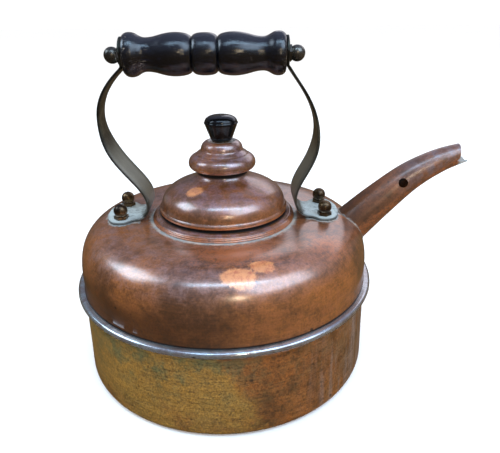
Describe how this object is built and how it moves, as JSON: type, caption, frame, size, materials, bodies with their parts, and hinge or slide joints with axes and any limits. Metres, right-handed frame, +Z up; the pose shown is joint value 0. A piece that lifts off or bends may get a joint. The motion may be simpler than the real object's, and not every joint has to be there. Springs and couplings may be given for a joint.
{
  "type": "whistling kettle",
  "caption": "Round copper stovetop kettle with a curved whistling spout, a domed lift-off lid with a black knob, and a turned black wooden grip on two bowed straps.",
  "frame": {"origin": "centre of the flat base, on the surface the kettle stands on", "axes": "+Z up, +X towards the spout, +Y to the kettle's left when looking along the spout"},
  "size_m": [0.2744, 0.2112, 0.2275],
  "materials": {
    "aged_copper": "aged, patinated, softly polished on the shoulder",
    "strap_metal": "dull plated brass worn to olive",
    "nut_brass": "dark tarnished with bright edges",
    "whistle_brass": "dull",
    "plain_steel": "dull",
    "ebonised_wood": "black lacquer over turned grain, worn",
    "black_lacquer": "glossy black",
    "sealing_fibre": "matt"
  },
  "bodies": {
    "kettle": {"lower_pan": "aged_copper", "upper_shell": "aged_copper", "seam_bead": "aged_copper", "lid_collar": "aged_copper", "spout": "aged_copper", "whistle_plate_inner": "whistle_brass", "whistle_plate_outer": "whistle_brass", "strap_rear": "strap_metal", "strap_front": "strap_metal", "grip": "ebonised_wood", "handle_rod": "plain_steel", "handle_nut_rear": "nut_brass", "handle_nut_front": "nut_brass", "stud_rear_left": "plain_steel", "seal_rear_left": "sealing_fibre", "foot_nut_rear_left": "nut_brass", "stud_rear_right": "plain_steel", "seal_rear_right": "sealing_fibre", "foot_nut_rear_right": "nut_brass", "stud_front_left": "plain_steel", "seal_front_left": "sealing_fibre", "foot_nut_front_left": "nut_brass", "stud_front_right": "plain_steel", "seal_front_right": "sealing_fibre", "foot_nut_front_right": "nut_brass"},
    "lid": {"lid_dome": "aged_copper", "lid_skirt": "aged_copper", "lid_crown": "aged_copper", "knob_washer": "nut_brass", "knob": "black_lacquer", "knob_screw": "plain_steel"}
  },
  "joints": [
    {"name": "lid_lift", "type": "slide", "parent": "kettle", "child": "lid", "axis": [0, 0, 1], "range_m": [0, 0.022]}
  ]
}
